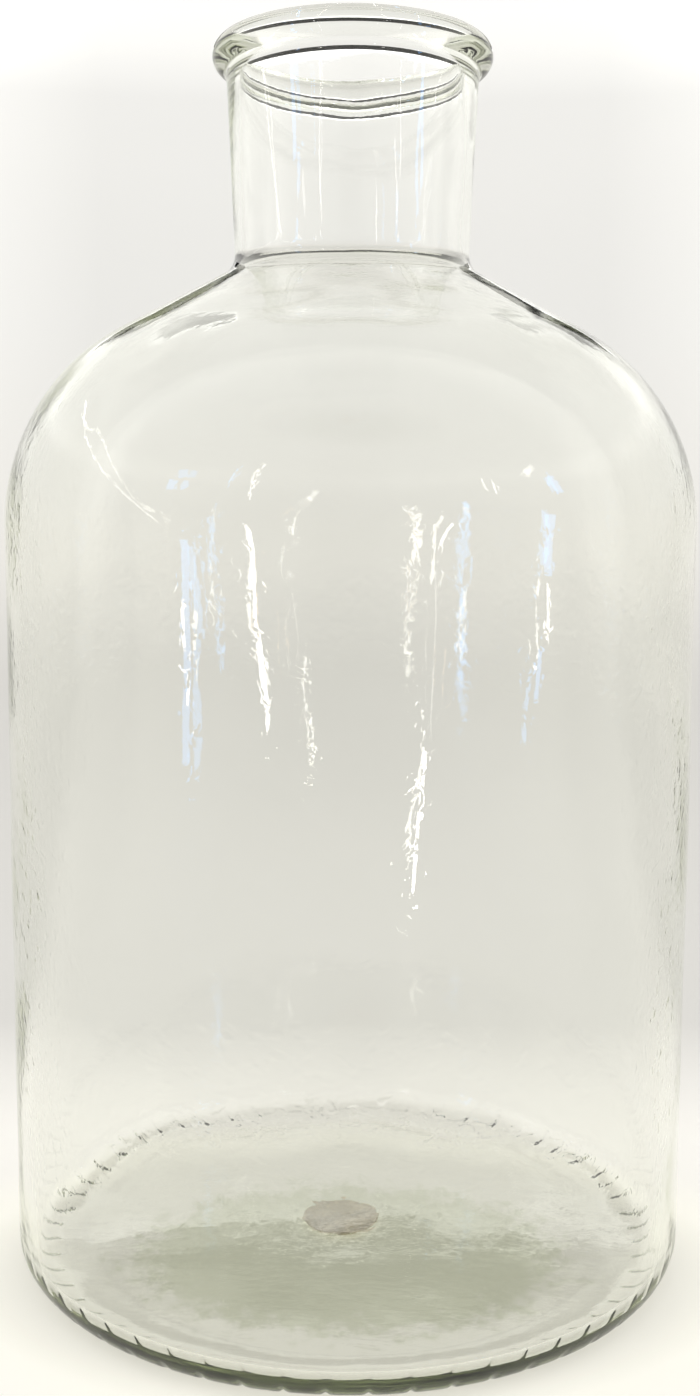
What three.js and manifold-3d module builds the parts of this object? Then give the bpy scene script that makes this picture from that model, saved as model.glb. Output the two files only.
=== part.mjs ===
// Clear glass bottle: straight wide neck with a rolled lip, domed shoulder, cylindrical body,
// thin base hardly pushed up, standing on a knurled ring, and a small round sticker under its centre.
// Millimetres, +Z up, axis of the bottle on Z, z = 0 on the plane the bottle stands on.
import * as THREE from 'three';
import { mergeVertices } from 'three/addons/utils/BufferGeometryUtils.js';
import Module from 'manifold-3d';

// Overall
const HEIGHT = 230;
const BODY_RADIUS = 65;
const SIDES = 56;              // facets around the axis, one per knurl

// Shoulder and neck
const SHOULDER_SLOPE = 28.5;   // degrees above horizontal of the cone that runs up to the neck
const SHOULDER_RADIUS = 41.3;  // rounding between the body and that cone
const CREASE_RADIUS = 23.3;    // where the cone would meet a straight neck
const CREASE_Z = 188.3;
const NECK_FOOT_RADIUS = 22.0;
const NECK_TOP_RADIUS = 23.2;
const NECK_FILLET = 4.5;

// Rolled lip
const LIP_RADIUS = 26;
const LIP_ROUND = 2.75;        // radius of the bead's section
const MOUTH_ROUND = 1.6;       // rounding from the top of the bead into the mouth

// Glass thickness
const BODY_WALL = 3;
const SHOULDER_WALL = 2.7;
const NECK_WALL = 1.7;

// Base
const HEEL_RADIUS = 6.2;
const PUSH_UP = 1.2;           // height of the underside's flat centre
const PUSH_UP_FLAT = 9;        // radius of that flat
const BEARING_INNER = 50;      // radius where the underside's dome meets the bearing ring
const FLOOR_CENTRE_Z = 4.2;    // the inside floor is a very shallow dome out to FLOOR_RADIUS ...
const FLOOR_RADIUS = 55;
const FLOOR_EDGE_Z = 3.2;
const FLOOR_RISE = 0.8;        // ... and climbs this much from there to the wall
const INNER_HEEL_RADIUS = 4;

// Knurls: short radial notches across the bearing ring's outer part
const KNURL_INNER = 56.8;
const KNURL_OUTER = 61;
const KNURL_WIDTH = 1.1;
const KNURL_DEPTH = 0.6;

// Sticker
const STICKER_RADIUS = 7.3;
const STICKER_THICKNESS = 0.3;
const STICKER_GAP = 0.3;
const STICKER_X = -1.3;        // it is stuck a little off centre

const rad = THREE.MathUtils.degToRad;
const point = (r, z) => new THREE.Vector2(r, z);

// Points of an arc in the (r, z) half-plane, angles in degrees
function arc(centreR, centreZ, radius, from, to, steps) {
  const points = [];
  for (let i = 0; i <= steps; i++) {
    const a = rad(from + ((to - from) * i) / steps);
    points.push(point(centreR + radius * Math.cos(a), centreZ + radius * Math.sin(a)));
  }
  return points;
}

// Replaces the corner between two straight lines with an arc tangent to both
function roundedCorner(before, corner, after, radius, steps) {
  const a = before.clone().sub(corner).normalize();
  const b = after.clone().sub(corner).normalize();
  const half = Math.acos(a.dot(b)) / 2;
  const centre = a.clone().add(b).normalize().multiplyScalar(radius / Math.sin(half)).add(corner);
  const start = a.multiplyScalar(radius / Math.tan(half)).add(corner).sub(centre);
  const end = b.multiplyScalar(radius / Math.tan(half)).add(corner).sub(centre);
  const turn = Math.atan2(start.x * end.y - start.y * end.x, start.dot(end));
  const points = [];
  for (let i = 0; i <= steps; i++) {
    points.push(start.clone().rotateAround(point(0, 0), (turn * i) / steps).add(centre));
  }
  return points;
}

// Shallow dome from (0, centreZ) out to (edgeR, edgeZ), without its two end points
function dome(centreR, centreZ, edgeR, edgeZ, steps) {
  const points = [];
  for (let i = 1; i < steps; i++) {
    const t = i / steps;
    points.push(point(centreR + (edgeR - centreR) * t, edgeZ + (centreZ - edgeZ) * (1 - t * t)));
  }
  return points;
}

// Side of the bottle from the body up to the neck's top, set in from the outer skin.
// The three insets are the glass thickness removed at the body, the shoulder and the neck.
function side(bodyInset, shoulderInset, neckInset) {
  const slope = Math.tan(rad(SHOULDER_SLOPE));
  const cone = (r) => CREASE_Z - shoulderInset / Math.cos(rad(SHOULDER_SLOPE)) - (r - CREASE_RADIUS) * slope;
  const bodyR = BODY_RADIUS - bodyInset;
  const neckFootR = NECK_FOOT_RADIUS - neckInset;
  const shoulderCorner = point(bodyR, cone(bodyR));
  const neckCorner = point(neckFootR, cone(neckFootR));
  const neckTop = point(NECK_TOP_RADIUS - neckInset, HEIGHT - 2 * LIP_ROUND);
  return [
    ...roundedCorner(point(bodyR, 0), shoulderCorner, neckCorner, SHOULDER_RADIUS - bodyInset, 8),
    ...roundedCorner(shoulderCorner, neckCorner, neckTop, NECK_FILLET + neckInset, 3),
  ];
}

function outerSkin() {
  const beadR = LIP_RADIUS - LIP_ROUND;
  return [
    point(0, PUSH_UP),
    point(PUSH_UP_FLAT, PUSH_UP),
    ...dome(PUSH_UP_FLAT, PUSH_UP, BEARING_INNER, 0, 4),
    point(BEARING_INNER, 0),
    ...arc(BODY_RADIUS - HEEL_RADIUS, HEEL_RADIUS, HEEL_RADIUS, -90, 0, 5),
    ...side(0, 0, 0),
    ...arc(beadR, HEIGHT - LIP_ROUND, LIP_ROUND, -90, 90, 7),
  ];
}

function innerSkin() {
  const mouthR = NECK_TOP_RADIUS - NECK_WALL;
  const wallR = BODY_RADIUS - BODY_WALL;
  const floorEdge = point(FLOOR_RADIUS, FLOOR_EDGE_Z);
  const floorCorner = point(wallR, FLOOR_EDGE_Z + FLOOR_RISE);
  return [
    ...arc(mouthR + MOUTH_ROUND, HEIGHT - MOUTH_ROUND, MOUTH_ROUND, 120, 180, 2),
    ...side(BODY_WALL, SHOULDER_WALL, NECK_WALL).reverse(),
    ...roundedCorner(point(wallR, HEIGHT / 2), floorCorner, floorEdge, INNER_HEEL_RADIUS, 5),
    floorEdge,
    ...dome(0, FLOOR_CENTRE_Z, FLOOR_RADIUS, FLOOR_EDGE_Z, 4).reverse(),
    point(0, FLOOR_CENTRE_Z),
  ];
}

// A flat-topped bar lying along a radius and reaching up into the glass by the knurl's depth
function knurlCutters() {
  const cutters = [];
  const length = KNURL_OUTER - KNURL_INNER;
  for (let i = 0; i < SIDES; i++) {
    const bar = new THREE.CylinderGeometry(KNURL_WIDTH / 2, KNURL_WIDTH / 2, length, 6);
    bar.scale(1, 1, KNURL_DEPTH / (KNURL_WIDTH / 2));
    bar.rotateZ(Math.PI / 2);
    bar.translate((KNURL_INNER + KNURL_OUTER) / 2, 0, 0);
    bar.rotateZ((2 * Math.PI * (i + 0.5)) / SIDES);
    cutters.push(bar);
  }
  return cutters;
}

const wasm = await Module();
wasm.setup();

function toSolid(geometry) {
  const bare = geometry.clone();
  bare.deleteAttribute('normal');
  bare.deleteAttribute('uv');
  const merged = mergeVertices(bare, 1e-4);
  return new wasm.Manifold(new wasm.Mesh({
    numProp: 3,
    vertProperties: new Float32Array(merged.attributes.position.array),
    triVerts: new Uint32Array(merged.index.array),
  }));
}

function toGeometry(solid) {
  const mesh = solid.getMesh();
  const geometry = new THREE.BufferGeometry();
  geometry.setAttribute('position', new THREE.BufferAttribute(mesh.vertProperties, 3));
  geometry.setIndex(new THREE.BufferAttribute(mesh.triVerts, 1));
  geometry.computeVertexNormals();
  return geometry;
}

// The lathe turns about Y, so it is stood up on Z
function revolve(profile, sides) {
  return new THREE.LatheGeometry(profile, sides).rotateX(Math.PI / 2);
}

function bottle() {
  let solid = toSolid(revolve([...outerSkin(), ...innerSkin()], SIDES));
  for (const cutter of knurlCutters()) solid = solid.subtract(toSolid(cutter));
  const glass = new THREE.MeshStandardMaterial({
    color: 0xe4ebe2, roughness: 0.04, metalness: 0, transparent: true, opacity: 0.35,
  });
  const mesh = new THREE.Mesh(toGeometry(solid), glass);
  mesh.name = 'bottle';
  return mesh;
}

function baseSticker() {
  const disc = new THREE.CylinderGeometry(STICKER_RADIUS, STICKER_RADIUS, STICKER_THICKNESS, 40);
  disc.rotateX(Math.PI / 2);
  disc.translate(STICKER_X, 0, PUSH_UP - STICKER_GAP - STICKER_THICKNESS / 2);
  const paper = new THREE.MeshStandardMaterial({ color: 0xb8a890, roughness: 0.85, metalness: 0 });
  const mesh = new THREE.Mesh(disc, paper);
  mesh.name = 'base_sticker';
  return mesh;
}

const group = new THREE.Group();
group.name = 'glass_bottle';
group.add(bottle(), baseSticker());
export default group;
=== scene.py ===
"""Looks of the glass bottle: the blown and moulded vessel, the sticker under its base, and a plain pale studio.
Metres, in the CAD frame: axis on Z, standing on z = 0, seen from -Y."""

import math

import bpy
import numpy as np
from mathutils import Matrix


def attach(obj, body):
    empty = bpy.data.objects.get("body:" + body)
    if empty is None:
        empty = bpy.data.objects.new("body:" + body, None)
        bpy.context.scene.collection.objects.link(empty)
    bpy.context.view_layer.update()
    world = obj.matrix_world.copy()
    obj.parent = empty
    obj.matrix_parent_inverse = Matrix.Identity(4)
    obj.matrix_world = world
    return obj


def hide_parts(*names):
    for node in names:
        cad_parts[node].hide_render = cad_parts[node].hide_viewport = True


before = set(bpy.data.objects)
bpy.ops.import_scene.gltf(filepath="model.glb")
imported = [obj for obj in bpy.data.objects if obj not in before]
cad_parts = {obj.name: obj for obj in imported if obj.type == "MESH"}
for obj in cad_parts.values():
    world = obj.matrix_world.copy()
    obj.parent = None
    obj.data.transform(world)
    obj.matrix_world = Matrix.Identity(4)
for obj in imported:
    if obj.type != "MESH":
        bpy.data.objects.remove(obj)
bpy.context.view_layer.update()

MM = 0.001

# ---------------------------------------------------------------- dimensions, mm
HEIGHT = 230.0
BODY_R = 65.0
HEEL_R = 6.2
SHOULDER_SLOPE = math.radians(28.5)
SHOULDER_R = 41.3
CREASE_R, CREASE_Z = 23.3, 188.3
NECK_FOOT_R, NECK_TOP_R = 22.0, 23.2
NECK_FILLET = 4.5
LIP_R, LIP_ROUND, MOUTH_ROUND = 26.0, 2.75, 1.6
BODY_WALL, SHOULDER_WALL, NECK_WALL = 3.0, 2.7, 1.7
PUSH_UP, BEARING_INNER = 1.2, 50.0
INNER_HEEL_R, FLOOR_R, FLOOR_EDGE_Z, FLOOR_CENTRE_Z, FLOOR_RISE = 3.5, 55.5, 3.2, 4.2, 0.6
KNURLS = 56                      # notches across the ring that the bottle stands on
KNURL_INNER, KNURL_HALF, KNURL_DEPTH = 57.5, 0.5, 0.42
KNURL_FADE = 2.0, 4.0            # heights between which a notch runs out
FINE_TOP = 4.4                   # rows of the outer skin up to here have twice the vertices
STICKER_R, STICKER_T, STICKER_X = 7.3, 0.22, -1.3
STICKER_GAP = 0.08
SKIN_INSET = 0.09                # draws the outer skin in, so that its waves stay inside the CAD's box

GLASS_TINT, GLASS_DENSITY = (0.885, 0.90, 0.83, 1), 90.0    # absorption, per metre
PEEL_SCALE, PEEL_HEIGHT = 520.0, 0.018                     # bumps per metre, mm
PEEL_STRETCH = (0.45, 1, 0.7)
PEEL_UP = [(0, 1), (0.006, 1), (0.009, 0.45), (0.23, 0.45)]    # share of the peel by height: more on the floor
PIT_SCALE, PITS = 380.0, [(0, 0), (0.58, 0), (0.70, 1), (1, 1)]        # small dents
# depth of the dents, in peel heights, by height up the bottle
PITS_UP = [(0, 0), (0.015, 0), (0.04, 0.7), (0.14, 0.7), (0.17, 0), (0.23, 0)]
PAPER = (0.80, 0.68, 0.44)

# studio tent round the bottle. Glow by height up its wall to the ceiling, by depth from the viewer's side to
# the back, across, and out from the bottle: under the bottle the table's glow is dimmed to a painted shadow,
# tinted green as if lit through the glass, and round its foot raised to a painted brighter ring
STUDIO_R, CEILING_Z = 1.5, 2.0
TABLE_DROP = 0.00015             # keeps the table clear of the glass
NEUTRAL, CREAM, GREEN, PALE_GREEN = (1.0, 0.995, 0.975), (1.0, 0.97, 0.91), (0.95, 1.0, 0.74), (1.0, 1.0, 0.92)
GLOW_UP = [(0.0, 0.33, CREAM), (0.1, 0.45, CREAM), (0.35, 0.51, NEUTRAL), (0.60, 0.57, NEUTRAL),
           (0.70, 0.85, NEUTRAL), (0.90, 0.62, NEUTRAL), (1.5, 0.62, NEUTRAL)]
GLOW_BACK = [(-1.5, 0.8), (-0.5, 1.2), (-0.1, 1.85), (0.05, 1.85), (0.13, 1.0), (1.5, 1.0)]
GLOW_ACROSS = [(-1.5, 1.06), (-0.40, 1.06), (-0.28, 0.88), (0.28, 0.88), (0.40, 1.06), (1.5, 1.06)]
# out from the bottle: a painted shadow under it, tinted green, and a painted brighter ring round its foot
PAINTED_SHADOW_AND_RING_OUT = [(0.0, 0.64, GREEN), (0.027, 0.68, GREEN), (0.0315, 0.93, PALE_GREEN), (0.045, 0.96, PALE_GREEN),
            (0.054, 1.25, PALE_GREEN), (0.066, 1.15, NEUTRAL), (0.3, 1.07, NEUTRAL), (0.6, 0.98, NEUTRAL)]
SPREAD_ACROSS, SPREAD_BACK = 0.72, 0.013    # that last one is an ellipse, its centre a little towards the viewer
# the edge of the painted shadow under the bottle wanders: bumps per metre, metres, and share by distance out
RAGGED_SCALE, RAGGED_BY = 330.0, 0.03
RAGGED_OUT = [(0, 1), (0.036, 1), (0.043, 0), (0.1, 0)]
# at the back, round the top of the camera's view, a bright card and a dark one over it: their images in the floor
# make its far half light and its near half dark. The dark card's foot is given as (x, z) points
CARD_Y, CARD_HALF = 1.38, 0.6
LIGHT_CARD = [(0.63, 1.0, NEUTRAL), (0.66, 1.7, NEUTRAL), (0.71, 1.9, NEUTRAL)]
DARK_FOOT, DARK_TOP = [(-0.60, 0.69), (-0.30, 0.672), (-0.17, 0.676), (-0.08, 0.692), (0, 0.705), (0.08, 0.692),
                       (0.17, 0.676), (0.30, 0.672), (0.60, 0.69)], 0.88
BLUE, WHITE, WARM = (0.30, 0.55, 1.0), (1.0, 0.98, 0.95), (1.0, 0.80, 0.60)
# window panes behind the camera, each a lit strip between two points given as azimuth from the viewer and
# height; then distance, width, colour, strength
PANES = [
    (-48.5, 0.034, -48.5, 0.135, 0.50, 0.022, BLUE, 5.5), (-49.5, 0.085, -49.5, 0.108, 0.49, 0.008, WHITE, 18),
    (-48, 0.064, -48, 0.078, 0.49, 0.007, WHITE, 18), (-45.5, 0.10, -45.5, 0.14, 0.50, 0.003, BLUE, 5),
    (-27, 0.092, -30, 0.150, 0.50, 0.009, WHITE, 16), (-23.5, 0.055, -26.5, 0.090, 0.50, 0.011, WHITE, 16),
    (-25, 0.070, -28, 0.120, 0.50, 0.003, WARM, 6),
    (25, 0.125, 29, 0.170, 0.50, 0.008, WHITE, 14), (23, 0.050, 24, 0.110, 0.50, 0.0025, WHITE, 5),
    (26, 0.060, 27, 0.085, 0.50, 0.003, WARM, 4), (17.5, 0.020, 20.5, 0.072, 0.32, 0.0048, WHITE, 20),
    (59.5, 0.118, 60, 0.19, 0.50, 0.028, BLUE, 5.5), (59, 0.088, 59.5, 0.114, 0.50, 0.009, WHITE, 16),
    (56, 0.055, 56.5, 0.084, 0.50, 0.013, BLUE, 6),
    (-54, 0.27, -54, 0.305, 0.50, 0.030, BLUE, 5), (-52, 0.315, -52, 0.345, 0.50, 0.030, BLUE, 4),
    (-30, 0.25, -28, 0.37, 0.50, 0.004, WHITE, 12), (-37, 0.30, -35, 0.36, 0.50, 0.003, BLUE, 8),
    (43, 0.26, 42, 0.31, 0.50, 0.005, WHITE, 10), (66, 0.26, 64, 0.315, 0.50, 0.024, BLUE, 5),
    (55, 0.33, 60, 0.36, 0.50, 0.018, WHITE, 5),
    (-58, 0.17, -118, 0.50, 0.60, 0.005, WHITE, 6),
]
CAMERA_AT, CAMERA_LENS = (0, -0.3003, 0.1436), 40.118
CAMERA_DOWN, CAMERA_ROLL = 6.74, 0.25    # degrees

AROUND = 280                     # vertices around the axis; the knurled rows have twice as many
STEP = 2.3                       # spacing of the rows along the profile


# ---------------------------------------------------------------- profile
def arc(cr, cz, radius, start, end, step=None, count=None):
    """Points (r, z) on an arc, angles in degrees."""
    length = radius * abs(math.radians(end - start))
    n = count or max(3, int(round(length / step)))
    a = np.radians(np.linspace(start, end, n + 1))
    return np.column_stack([cr + radius * np.cos(a), cz + radius * np.sin(a)])


def line(p, q, step=STEP):
    n = max(1, int(round(math.dist(p, q) / step)))
    return np.linspace(p, q, n + 1)


def rounded(before, corner, after, radius, count):
    """The arc tangent to both lines that meet at corner."""
    before, corner, after = (np.array(p, float) for p in (before, corner, after))
    a = (before - corner) / np.linalg.norm(before - corner)
    b = (after - corner) / np.linalg.norm(after - corner)
    half = math.acos(a @ b) / 2
    centre = corner + (a + b) / np.linalg.norm(a + b) * radius / math.sin(half)
    start = corner + a * radius / math.tan(half) - centre
    end = corner + b * radius / math.tan(half) - centre
    turn = math.atan2(start[0] * end[1] - start[1] * end[0], start @ end)
    t = turn * np.linspace(0, 1, count + 1)
    x = start[0] * np.cos(t) - start[1] * np.sin(t)
    y = start[0] * np.sin(t) + start[1] * np.cos(t)
    return centre + np.column_stack([x, y])


def dome(centre_r, centre_z, edge_r, edge_z, step=STEP):
    n = max(2, int(round((edge_r - centre_r) / step)))
    t = np.linspace(0, 1, n + 1)
    return np.column_stack([centre_r + (edge_r - centre_r) * t, edge_z + (centre_z - edge_z) * (1 - t * t)])


def join(*pieces):
    """One polyline, with the points that two pieces share kept once."""
    points = [pieces[0]]
    for p in pieces[1:]:
        gap = np.linalg.norm(p[0] - points[-1][-1])
        points.append(p[1:] if gap < 1e-6 else p)
    return np.vstack(points)


def side(body_in, shoulder_in, neck_in):
    """Body, shoulder and neck, set in from the outer skin by the glass thickness."""
    slope = math.tan(SHOULDER_SLOPE)

    def cone(r):
        return CREASE_Z - shoulder_in / math.cos(SHOULDER_SLOPE) - (r - CREASE_R) * slope

    body, foot = BODY_R - body_in, NECK_FOOT_R - neck_in
    low, high = (body, cone(body)), (foot, cone(foot))
    top = (NECK_TOP_R - neck_in, HEIGHT - 2 * LIP_ROUND)
    shoulder = rounded((body, 0), low, high, SHOULDER_R - body_in, 20)
    fillet = rounded(low, high, top, NECK_FILLET + neck_in, 8)
    return shoulder, fillet, np.array(top)


def outer_skin():
    shoulder, fillet, top = side(0, 0, 0)
    bead_r = LIP_R - LIP_ROUND
    heel = arc(BODY_R - HEEL_R, HEEL_R, HEEL_R, -90, 0, step=0.7)
    under = dome(0, PUSH_UP, BEARING_INNER, 0)
    ring = line((BEARING_INNER, 0), (BODY_R - HEEL_R, 0), 0.75)
    bead = arc(bead_r, HEIGHT - LIP_ROUND, LIP_ROUND, -84, 90, count=26)
    return join(under, ring, heel, line(heel[-1], shoulder[0]), shoulder, line(shoulder[-1], fillet[0]), fillet,
                line(fillet[-1], bead[0]), bead)


def inner_skin():
    shoulder, fillet, top = side(BODY_WALL, SHOULDER_WALL, NECK_WALL)
    mouth_r = NECK_TOP_R - NECK_WALL
    mouth = arc(mouth_r + MOUTH_ROUND, HEIGHT - MOUTH_ROUND, MOUTH_ROUND, 90, 180, count=8)
    wall_r = BODY_R - BODY_WALL
    heel = rounded((FLOOR_R, FLOOR_EDGE_Z), (wall_r, FLOOR_EDGE_Z + FLOOR_RISE), (wall_r, 60), INNER_HEEL_R, 12)[::-1]
    floor = dome(0, FLOOR_CENTRE_Z, FLOOR_R, FLOOR_EDGE_Z)[::-1]
    return join(mouth, line(mouth[-1], fillet[-1]), fillet[::-1], line(fillet[0], shoulder[-1]), shoulder[::-1],
                line(shoulder[0], heel[0]), heel, line(heel[-1], floor[0]), floor)


# ---------------------------------------------------------------- surface waviness
def waves(points, count, length, seed, stretch=1.0):
    """Smooth noise of about unit size with wavelengths near length (mm), longer up the bottle by stretch."""
    rng = np.random.default_rng(seed)
    direction = rng.normal(size=(count, 3))
    direction /= np.linalg.norm(direction, axis=1)[:, None]
    direction[:, 2] /= stretch
    k = direction * (2 * math.pi / (length * rng.uniform(0.7, 1.5, count)))[:, None]
    phase = rng.uniform(0, 2 * math.pi, count)
    total = np.zeros(len(points))
    for ki, ph in zip(k, phase):
        total += np.sin(points @ ki + ph)
    return total * math.sqrt(2 / count)


def smoothstep(x, low, high):
    t = np.clip((x - low) / (high - low), 0, 1)
    return t * t * (3 - 2 * t)


def knurl(points):
    """Depth of the notches across the ring that the bottle stands on, 0 to 1."""
    r = np.hypot(points[:, 0], points[:, 1])
    a = np.arctan2(points[:, 1], points[:, 0])
    pitch = 2 * math.pi / KNURLS
    off = ((a / pitch) % 1 - 0.5) * pitch * r
    across = np.exp(-(off / KNURL_HALF) ** 2)
    along = smoothstep(r, KNURL_INNER - 0.8, KNURL_INNER + 0.6) * (1 - smoothstep(points[:, 2], *KNURL_FADE))
    return across * along


# ---------------------------------------------------------------- mesh building
def ring_points(profile, angles):
    r, z = profile
    return np.column_stack([r * np.cos(angles), r * np.sin(angles), np.full(len(angles), z)])


def lathe(profile, around, fine):
    """A closed solid of revolution. Rows where fine is true have twice the vertices around."""
    coarse_a = np.arange(around) * 2 * math.pi / around
    fine_a = np.arange(2 * around) * math.pi / around
    rows, vertices = [], []
    for (r, z), is_fine in zip(profile, fine):
        start = len(vertices)
        if r < 1e-6:
            vertices.append((0, 0, z))
            rows.append(np.array([start]))
            continue
        pts = ring_points((r, z), fine_a if is_fine else coarse_a)
        vertices.extend(map(tuple, pts))
        rows.append(np.arange(start, start + len(pts)))
    faces = []
    for low, high in zip(rows, rows[1:]):
        n, m = len(low), len(high)
        if n == 1:
            faces += [(low[0], high[(i + 1) % m], high[i]) for i in range(m)]
        elif m == 1:
            faces += [(low[i], low[(i + 1) % n], high[0]) for i in range(n)]
        elif n == m:
            faces += [(low[i], low[(i + 1) % n], high[(i + 1) % n], high[i]) for i in range(n)]
        elif n == 2 * m:
            for i in range(m):
                a, b, c = low[2 * i], low[2 * i + 1], low[(2 * i + 2) % n]
                d, e = high[i], high[(i + 1) % m]
                faces += [(a, b, d), (b, e, d), (b, c, e)]
        else:
            for i in range(n):
                a, b = low[i], low[(i + 1) % n]
                d, e, f = high[2 * i], high[2 * i + 1], high[(2 * i + 2) % m]
                faces += [(a, e, d), (a, b, e), (b, f, e)]
    return np.array(vertices, float), faces


def new_object(name, vertices, faces, material, smooth=True):
    mesh = bpy.data.meshes.new(name)
    mesh.from_pydata([tuple(v) for v in vertices], [], [tuple(int(i) for i in f) for f in faces])
    mesh.validate()
    mesh.polygons.foreach_set("use_smooth", [smooth] * len(mesh.polygons))
    mesh.materials.append(material)
    mesh.update()
    obj = bpy.data.objects.new(name, mesh)
    bpy.context.scene.collection.objects.link(obj)
    return obj


def build_bottle(material):
    outer, inner = outer_skin(), inner_skin()
    profile = join(outer, inner)
    n_outer = len(outer)
    fine = [i < n_outer and r > KNURL_INNER - 2 and z < FINE_TOP for i, (r, z) in enumerate(profile)]
    vertices, faces = lathe(profile, AROUND, fine)

    # outward normal of the profile at each row, to move the skin along
    tangent = np.gradient(profile, axis=0)
    normal = np.column_stack([tangent[:, 1], -tangent[:, 0]])
    normal /= np.linalg.norm(normal, axis=1)[:, None]
    counts = [1 if r < 1e-6 else (2 * AROUND if f else AROUND) for (r, z), f in zip(profile, fine)]
    row = np.repeat(np.arange(len(profile)), counts)
    radius = np.hypot(vertices[:, 0], vertices[:, 1])
    unit = vertices[:, :2] / np.maximum(radius, 1e-9)[:, None]
    n3 = np.column_stack([unit * normal[row, 0][:, None], normal[row, 1]])
    is_inner = row >= n_outer

    z = vertices[:, 2]
    outer_wave = 0.020 * waves(vertices, 40, 17, 11) + 0.030 * waves(vertices, 24, 42, 12)
    inner_wave = (0.055 * waves(vertices, 30, 55, 21, 1.3) + 0.035 * waves(vertices, 40, 22, 22)
                  + 0.010 * waves(vertices, 50, 8, 23))
    # the waves fade at the lip and over the sticker
    keep = (1 - 0.8 * smoothstep(z, 222, 226)) * (0.45 + 0.55 * smoothstep(radius + z, 14, 40))
    move = np.where(is_inner, inner_wave, outer_wave - SKIN_INSET) * keep
    on_ring = (~is_inner) & (z < 0.02) & (radius > BEARING_INNER - 1)
    move = np.where(on_ring, 0, move)
    move -= np.where(is_inner, 0, KNURL_DEPTH * knurl(vertices))
    vertices = vertices + n3 * move[:, None]
    vertices[:, 2] = np.clip(vertices[:, 2], 0, HEIGHT)
    return new_object("bottle_glass", vertices * MM, faces, material)


def build_sticker(material):
    """A thin paper disc with a soft edge, lying just under the middle of the push-up."""
    rings = [(0, 0)] + [(STICKER_R * t, 0) for t in (0.25, 0.5, 0.72, 0.88, 0.965)]
    rings += [(STICKER_R, 0.35), (STICKER_R, 0.7)]
    rings += [(STICKER_R * t, 1) for t in (0.965, 0.88, 0.72, 0.5, 0.25)] + [(0, 1)]
    profile = np.array([(r, PUSH_UP - STICKER_GAP - STICKER_T + STICKER_T * t) for r, t in rings])
    vertices, faces = lathe(profile, 72, [False] * len(profile))
    vertices[:, 2] += 0.03 * waves(vertices, 20, 5, 31) - 0.04
    vertices[:, 0] += STICKER_X
    return new_object("base_sticker_paper", vertices * MM, faces, material)


# ---------------------------------------------------------------- materials
def new_material(name):
    mat = bpy.data.materials.new(name)
    mat.use_nodes = True
    nodes = mat.node_tree.nodes
    return mat, nodes, mat.node_tree.links, nodes["Principled BSDF"]


def node(nodes, kind, **inputs):
    """Adds a node and sets the sockets named (underscores stand for spaces)."""
    n = nodes.new(kind)
    for name, value in inputs.items():
        n.inputs[name.replace("_", " ")].default_value = value
    return n


def glass_material():
    """Clear glass, greenish where it is thick, with the fine orange-peel skin of pressed glass."""
    mat, nodes, links, bsdf = new_material("clear_bottle_glass")
    bsdf.inputs["Base Color"].default_value = (1, 1, 1, 1)
    bsdf.inputs["Roughness"].default_value = 0.0
    bsdf.inputs["IOR"].default_value = 1.52
    bsdf.inputs["Transmission Weight"].default_value = 1.0
    place = nodes.new("ShaderNodeTexCoord")
    xyz = nodes.new("ShaderNodeSeparateXYZ")
    links.new(place.outputs["Object"], xyz.inputs[0])
    stretched = vector_math(nodes, links, "MULTIPLY", place.outputs["Object"], PEEL_STRETCH)
    peel = node(nodes, "ShaderNodeTexNoise", Scale=PEEL_SCALE, Detail=3.0, Roughness=0.6)
    links.new(stretched, peel.inputs["Vector"])
    pit = node(nodes, "ShaderNodeTexNoise", Scale=PIT_SCALE, Detail=1.0)
    links.new(place.outputs["Object"], pit.inputs["Vector"])
    pits = vector_math(nodes, links, "MULTIPLY", curve(nodes, links, pit.outputs["Fac"], PITS),
                       curve(nodes, links, xyz.outputs["Z"], PITS_UP))
    height = vector_math(nodes, links, "MULTIPLY_ADD", peel.outputs["Fac"],
                         curve(nodes, links, xyz.outputs["Z"], PEEL_UP), pits)
    bump = node(nodes, "ShaderNodeBump", Strength=1.0, Distance=PEEL_HEIGHT * MM)
    links.new(height, bump.inputs["Height"])
    links.new(bump.outputs["Normal"], bsdf.inputs["Normal"])
    absorb = node(nodes, "ShaderNodeVolumeAbsorption", Color=GLASS_TINT, Density=GLASS_DENSITY)
    links.new(absorb.outputs[0], nodes["Material Output"].inputs["Volume"])
    return mat


def sticker_material():
    """Matt brownish paper with fibres and a few darker stains."""
    mat, nodes, links, bsdf = new_material("sticker_paper")
    bsdf.inputs["Roughness"].default_value = 0.85
    place = nodes.new("ShaderNodeTexCoord")
    fibre = node(nodes, "ShaderNodeTexNoise", Scale=900.0, Detail=5.0, Roughness=0.7)
    stain = node(nodes, "ShaderNodeTexNoise", Scale=220.0, Detail=2.0)
    links.new(place.outputs["Object"], fibre.inputs["Vector"])
    links.new(place.outputs["Object"], stain.inputs["Vector"])
    both = nodes.new("ShaderNodeMath")
    both.operation = "MULTIPLY_ADD"
    both.inputs[1].default_value = 0.5
    links.new(fibre.outputs["Fac"], both.inputs[0])
    links.new(stain.outputs["Fac"], both.inputs[2])
    ramp = nodes.new("ShaderNodeValToRGB")
    ramp.color_ramp.elements[0].position, ramp.color_ramp.elements[1].position = 0.5, 0.95
    ramp.color_ramp.elements[0].color = (*[0.8 * c for c in PAPER], 1)
    ramp.color_ramp.elements[1].color = (*[1.15 * c for c in PAPER], 1)
    links.new(both.outputs[0], ramp.inputs[0])
    links.new(ramp.outputs[0], bsdf.inputs["Base Color"])
    bump = node(nodes, "ShaderNodeBump", Strength=0.6, Distance=0.03 * MM)
    links.new(fibre.outputs["Fac"], bump.inputs["Height"])
    links.new(bump.outputs["Normal"], bsdf.inputs["Normal"])
    return mat


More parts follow.
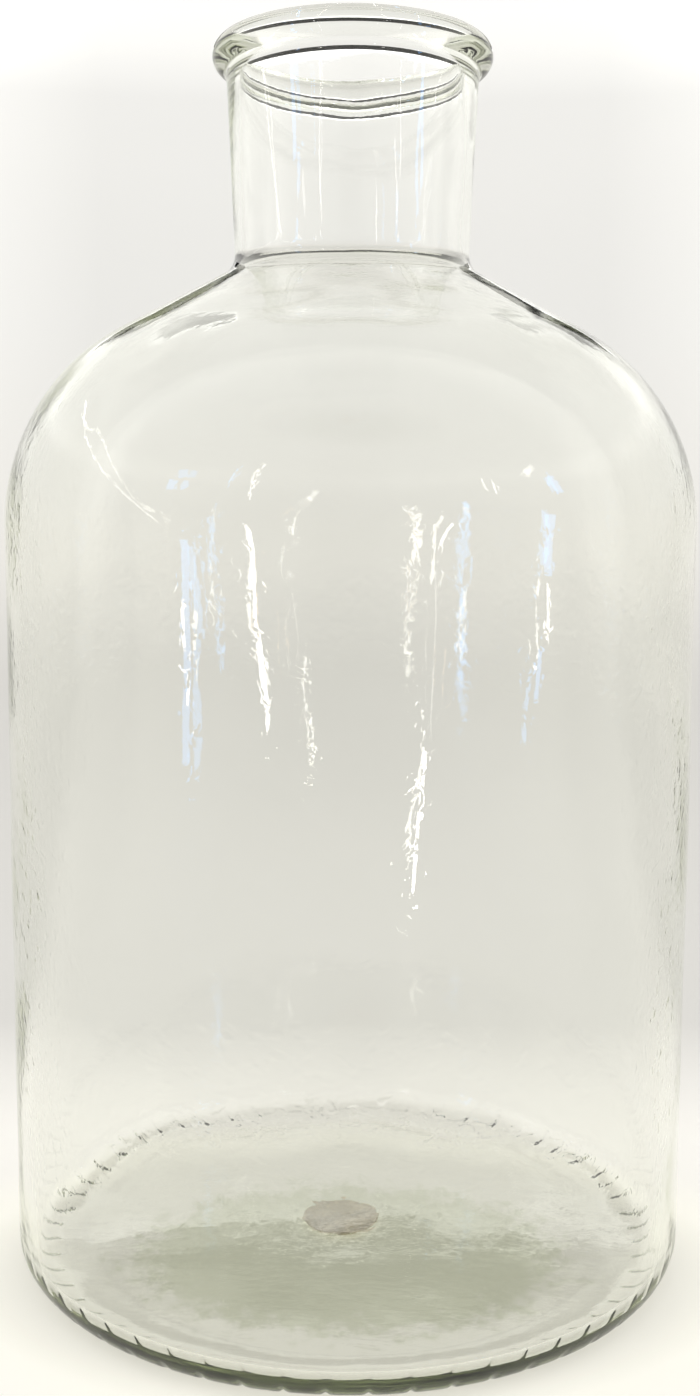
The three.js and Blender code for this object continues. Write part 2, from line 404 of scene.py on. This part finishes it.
# ---------------------------------------------------------------- studio
def emission(name, colour, strength):
    mat = bpy.data.materials.new(name)
    mat.use_nodes = True
    nodes, links = mat.node_tree.nodes, mat.node_tree.links
    nodes.remove(nodes["Principled BSDF"])
    e = nodes.new("ShaderNodeEmission")
    e.inputs["Color"].default_value = (*colour, 1)
    e.inputs["Strength"].default_value = strength
    links.new(e.outputs[0], nodes["Material Output"].inputs["Surface"])
    return mat


def studio_light(obj):
    """A lit or dark card that shows in the glass and, like a lamp, is not seen directly."""
    obj.visible_camera = False


def strip(name, start, end, width, material):
    """A flat lit card from one point to another, turned to face the bottle."""
    start, end = np.array(start), np.array(end)
    across = np.cross(end - start, (start + end) / 2 - (0, 0, 0.12))
    across *= width / 2 / np.linalg.norm(across)
    corners = [start - across, start + across, end + across, end - across]
    studio_light(new_object(name, corners, [(0, 1, 2, 3)], material, smooth=False))


def curve(nodes, links, socket, stops):
    """A value or colour that follows the stops (position, value, tint) along the socket."""
    low, high = stops[0][0], stops[-1][0]
    place = node(nodes, "ShaderNodeMapRange", From_Min=low, From_Max=high)
    links.new(socket, place.inputs["Value"])
    ramp = nodes.new("ShaderNodeValToRGB")
    while len(ramp.color_ramp.elements) < len(stops):
        ramp.color_ramp.elements.new(1.0)
    for element, (at, value, *tint) in zip(ramp.color_ramp.elements, stops):
        element.position = (at - low) / (high - low)
        element.color = (*[value * c for c in (tint[0] if tint else (1, 1, 1))], 1)
    links.new(place.outputs[0], ramp.inputs[0])
    return ramp.outputs[0]


def vector_math(nodes, links, operation, a, b, c=None):
    n = nodes.new("ShaderNodeVectorMath")
    n.operation = operation
    for socket, value in zip(n.inputs, (a, b, c)):
        if isinstance(value, bpy.types.NodeSocket):
            links.new(value, socket)
        elif value is not None:
            socket.default_value = value
    return n.outputs["Value" if operation == "LENGTH" else "Vector"]


def tent_material():
    """Pale matt cloth that glows, and the lit table, with a painted green shadow under the bottle and a painted
    brighter ring round its foot.
    """
    mat, nodes, links, bsdf = new_material("studio_tent")
    bsdf.inputs["Base Color"].default_value = (0.4, 0.4, 0.4, 1)
    bsdf.inputs["Roughness"].default_value = 0.9
    bsdf.inputs["Specular IOR Level"].default_value = 0.1
    place = nodes.new("ShaderNodeNewGeometry").outputs["Position"]
    xyz = nodes.new("ShaderNodeSeparateXYZ")
    links.new(place, xyz.inputs[0])
    squeezed = vector_math(nodes, links, "MULTIPLY_ADD", place, (SPREAD_ACROSS, 1, 1),
                           (0, SPREAD_BACK, 0))
    ragged = node(nodes, "ShaderNodeTexNoise", Scale=RAGGED_SCALE, Detail=4.0, Roughness=0.7)
    links.new(vector_math(nodes, links, "MULTIPLY", place, (1, 0.8, 1)), ragged.inputs["Vector"])
    wander = vector_math(nodes, links, "MULTIPLY_ADD", ragged.outputs["Color"], (RAGGED_BY, RAGGED_BY, 0),
                         (-RAGGED_BY / 2, -RAGGED_BY / 2, 0))
    out = vector_math(nodes, links, "LENGTH", squeezed, None)
    wander = vector_math(nodes, links, "MULTIPLY", wander,
                         curve(nodes, links, out, RAGGED_OUT))
    out = vector_math(nodes, links, "LENGTH", vector_math(nodes, links, "ADD", squeezed, wander), None)
    glow = curve(nodes, links, xyz.outputs["Z"], GLOW_UP)
    # the glow out from the bottle paints the shadow under it, tinted green, and a brighter ring round its foot
    for socket, stops in ((xyz.outputs["X"], GLOW_ACROSS), (xyz.outputs["Y"], GLOW_BACK), (out, PAINTED_SHADOW_AND_RING_OUT)):
        glow = vector_math(nodes, links, "MULTIPLY", glow, curve(nodes, links, socket, stops))
    links.new(glow, bsdf.inputs["Emission Color"])
    bsdf.inputs["Emission Strength"].default_value = 1.0
    return mat


def card(name, foot, high, depth, stops):
    """An upright card at the back, above the foot line, whose glow follows the stops up its height."""
    mat = emission(name, (0, 0, 0), 1.0)
    nodes, links = mat.node_tree.nodes, mat.node_tree.links
    xyz = nodes.new("ShaderNodeSeparateXYZ")
    links.new(nodes.new("ShaderNodeNewGeometry").outputs["Position"], xyz.inputs[0])
    links.new(curve(nodes, links, xyz.outputs["Z"], stops), nodes["Emission"].inputs["Color"])
    corners = [(x, depth, z) for x, z in foot] + [(x, depth, high) for x, z in foot]
    n = len(foot)
    faces = [(i, i + 1, n + i + 1, n + i) for i in range(n - 1)]
    studio_light(new_object(name, corners, faces, mat, smooth=False))


def studio():
    """A closed tent with a rounded foot and ceiling, its floor the table, and the cards and panes round it."""
    bend = 0.45
    flat = STUDIO_R - bend
    rows = [(0, 0), (0.2, 0), (0.5, 0), (flat, 0)]
    rows += [(flat + bend * math.sin(a), bend - bend * math.cos(a)) for a in np.radians(np.linspace(6, 90, 15))]
    rows += [(STUDIO_R, 1.0)]
    rows += [(STUDIO_R * math.cos(a), 1.0 + (CEILING_Z - 1.0) * math.sin(a))
             for a in np.radians(np.linspace(8, 82, 10))] + [(0, CEILING_Z)]
    verts, faces = lathe(np.array(rows), 96, [False] * len(rows))
    verts[:, 2] -= TABLE_DROP
    new_object("studio_tent", verts, faces, tent_material())

    card("light_card", [(-CARD_HALF, LIGHT_CARD[0][0]), (CARD_HALF, LIGHT_CARD[0][0])], LIGHT_CARD[-1][0],
         CARD_Y, LIGHT_CARD)
    card("dark_card", DARK_FOOT, DARK_TOP, CARD_Y - 0.01, [(0, 0.01), (DARK_TOP, 0.01)])

    world = bpy.data.worlds.new("studio_world")
    bpy.context.scene.world = world
    world.use_nodes = True
    world.node_tree.nodes["Background"].inputs["Color"].default_value = (0.5, 0.5, 0.5, 1)

    for i, (az0, z0, az1, z1, distance, width, colour, strength) in enumerate(PANES):
        ends = [(distance * math.sin(math.radians(az)), -distance * math.cos(math.radians(az)), z)
                for az, z in ((az0, z0), (az1, z1))]
        strip(f"window_pane_{i}", *ends, width, emission(f"window_light_{i}", colour, strength))


def camera():
    cam = bpy.data.cameras.new("photo_camera")
    cam.lens = CAMERA_LENS
    cam.sensor_width = 36
    obj = bpy.data.objects.new("photo_camera", cam)
    bpy.context.scene.collection.objects.link(obj)
    obj.location = CAMERA_AT
    tilt, roll = math.radians(90 - CAMERA_DOWN), math.radians(CAMERA_ROLL)
    obj.rotation_euler = (Matrix.Rotation(tilt, 3, "X") @ Matrix.Rotation(roll, 3, "Z")).to_euler()
    bpy.context.scene.camera = obj


camera()
studio()
bottle = build_bottle(glass_material())
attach(bottle, "root")
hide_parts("bottle")
sticker = build_sticker(sticker_material())
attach(sticker, "root")
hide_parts("base_sticker")

# light that runs round inside the heel and the lip needs many bounces to get out again
cycles = bpy.context.scene.cycles
cycles.max_bounces = cycles.transmission_bounces = 40
cycles.glossy_bounces = 24
bpy.context.scene.view_settings.view_transform = "Standard"
